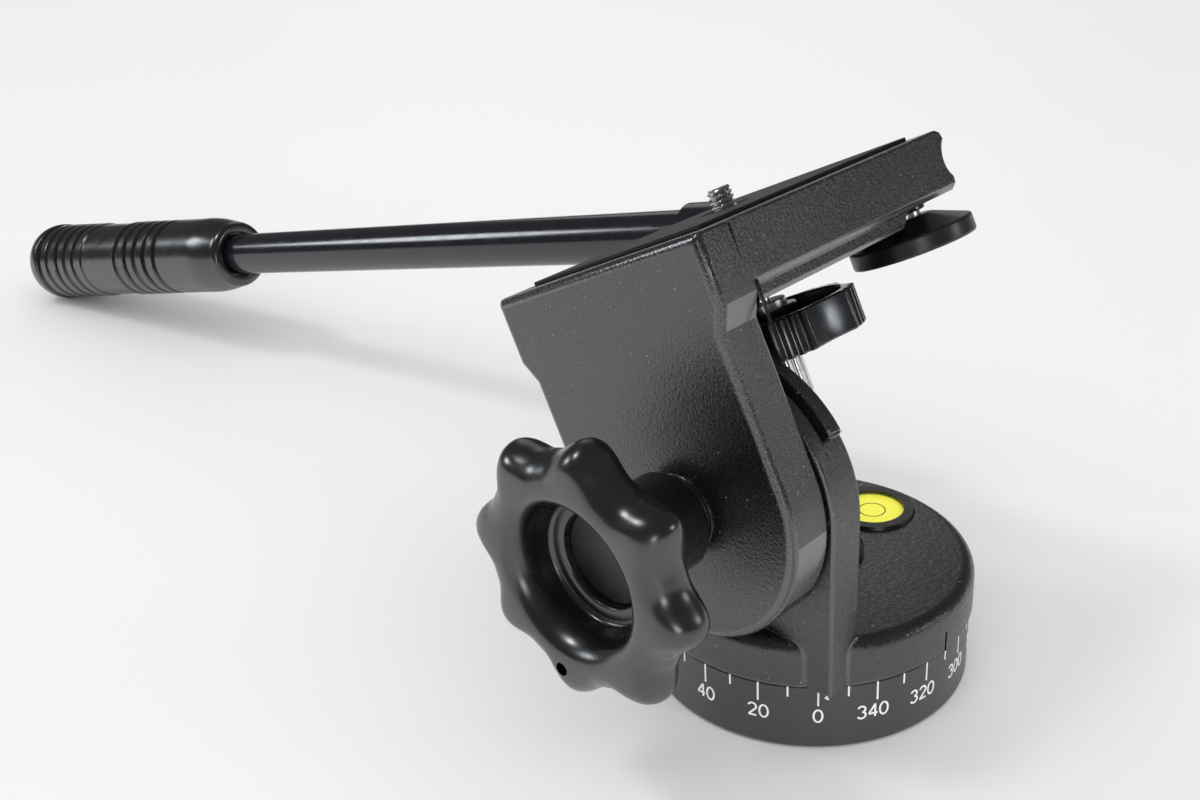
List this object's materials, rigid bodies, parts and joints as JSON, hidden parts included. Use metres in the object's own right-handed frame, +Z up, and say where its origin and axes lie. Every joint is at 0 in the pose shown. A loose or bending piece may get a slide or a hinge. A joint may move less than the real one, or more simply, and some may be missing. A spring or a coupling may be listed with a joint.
{
  "type": "fluid video head",
  "caption": "Black panning and tilting video head: scaled round base, tilting camera platform with thumbwheel screw, star clamp knob, bubble level and a long swinging handle.",
  "frame": {"origin": "centre of the base's underside, at the mouth of the tripod thread", "axes": "+Z up along the pan axis, +X where the lens points, +Y along the tilt axis away from the star knob"},
  "size_m": [0.4825, 0.1494, 0.1336],
  "materials": {
    "satin_black": "die cast, smooth satin black paint",
    "wrinkle_black": "die cast, fine wrinkle black paint",
    "tube_black": "black anodised, satin",
    "gloss_black": "half gloss black",
    "grip_black": "dull black",
    "steel": "bright zinc",
    "brass": "turned",
    "drag_metal": "turned",
    "glide": "natural, worn bright at the edge",
    "fibre": "friction fibre",
    "vial_yellow": "clear yellow liquid",
    "window": "clear",
    "white": "painted mark"
  },
  "bodies": {
    "base": {"scale_base": "satin_black", "glide_ring": "glide", "pan_spindle": "steel", "tripod_bush": "brass", "spindle_screws": "steel", "pan_stator": "drag_metal", "pan_washer": "steel", "pan_nut": "steel"},
    "turntable": {"pan_housing": "wrinkle_black", "pan_rotor": "drag_metal", "hub_cap": "satin_black", "level_bezel": "gloss_black", "level_vial": "vial_yellow", "level_window": "window", "index_mark": "white", "tilt_shaft": "steel", "tilt_washer": "steel", "tilt_nut": "steel", "tilt_disc": "fibre"},
    "tilt_head": {"tilt_casting": "wrinkle_black", "tilt_bush": "brass", "platform_pad": "grip_black", "stud_keeper": "steel"},
    "camera_screw": {"camera_stud": "steel", "camera_wheel": "gloss_black"},
    "tilt_knob": {"star_knob": "gloss_black", "knob_insert": "brass", "knob_disc": "gloss_black", "thrust_washer": "steel"},
    "handle_clamp": {"clamp_knob": "gloss_black", "clamp_screw": "steel", "clamp_washer": "steel"},
    "handle": {"handle_arm": "wrinkle_black", "handle_tube": "tube_black", "handle_pin": "steel", "handle_grip": "grip_black", "grip_cap": "grip_black"}
  },
  "joints": [
    {"name": "pan", "type": "hinge", "parent": "base", "child": "turntable", "pos_m": [0, 0, 0.019], "axis": [0, 0, 1], "continuous": true},
    {"name": "tilt", "type": "hinge", "parent": "turntable", "child": "tilt_head", "pos_m": [-0.0015, 0, 0.0641], "axis": [0, 1, 0], "range_deg": [-54.6, 100.4]},
    {"name": "tilt_clamp", "type": "hinge", "parent": "turntable", "child": "tilt_knob", "pos_m": [-0.0015, 0, 0.0641], "axis": [0, 1, 0], "range_deg": [-180, 180]},
    {"name": "camera_screw_turn", "type": "hinge", "parent": "tilt_head", "child": "camera_screw", "pos_m": [-0.01866, 0.0023, 0.10023], "axis": [-0.4289, 0, 0.9033], "continuous": true},
    {"name": "handle_clamp_turn", "type": "hinge", "parent": "tilt_head", "child": "handle_clamp", "pos_m": [0.00176, 0.0362, 0.11436], "axis": [-0.4289, 0, 0.9033], "range_deg": [-180, 180]},
    {"name": "handle_swing", "type": "hinge", "parent": "tilt_head", "child": "handle", "pos_m": [0.00176, 0.0362, 0.11436], "axis": [-0.4289, 0, 0.9033], "range_deg": [-60, 12]}
  ]
}
